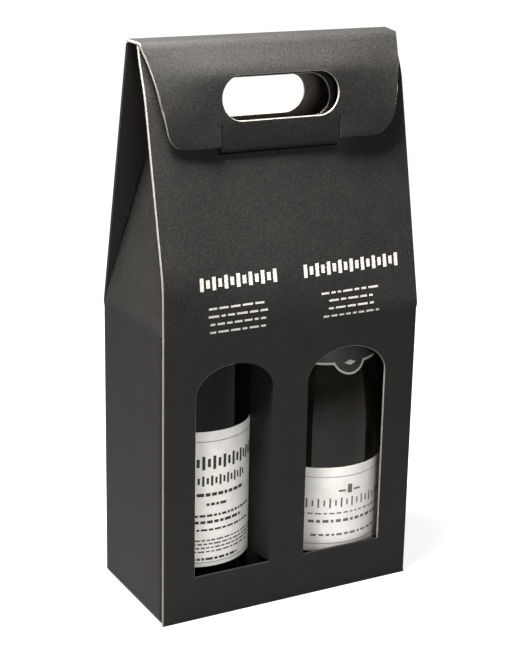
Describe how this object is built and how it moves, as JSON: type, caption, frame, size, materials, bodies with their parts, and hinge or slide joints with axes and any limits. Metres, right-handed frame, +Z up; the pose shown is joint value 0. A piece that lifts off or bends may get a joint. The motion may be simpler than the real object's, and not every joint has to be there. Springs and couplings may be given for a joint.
{
  "type": "bottle shipping box",
  "caption": "Upright folded board carrier for wine bottles, with arched windows, gusseted sides, a hand hole and a closing flap that tucks into the front, shown filled.",
  "frame": {"origin": "middle of the base, on the surface the box stands on", "axes": "+Z up, the front with the windows faces -Y, +X to the right as seen from the front"},
  "size_m": [0.18, 0.09, 0.3599],
  "materials": {
    "board": "printed matt",
    "flap_board": "printed matt",
    "dark_glass": "gloss",
    "olive_glass": "gloss",
    "label_paper": "uncoated",
    "collar_paper": "printed",
    "left_foil": "painted satin",
    "right_foil": "painted satin"
  },
  "bodies": {
    "box": {"carton": "board", "bottle_left": "dark_glass", "label_left": "label_paper", "capsule_left": "left_foil", "bottle_right": "olive_glass", "label_right": "label_paper", "collar_label_right": "collar_paper", "capsule_right": "right_foil"},
    "flap": {"closing_flap": "flap_board"}
  },
  "joints": [
    {"name": "flap_crease", "type": "hinge", "parent": "box", "child": "flap", "pos_m": [0, 0.0075, 0.35815], "axis": [-1, 0, 0], "range_deg": [0, 150]}
  ]
}
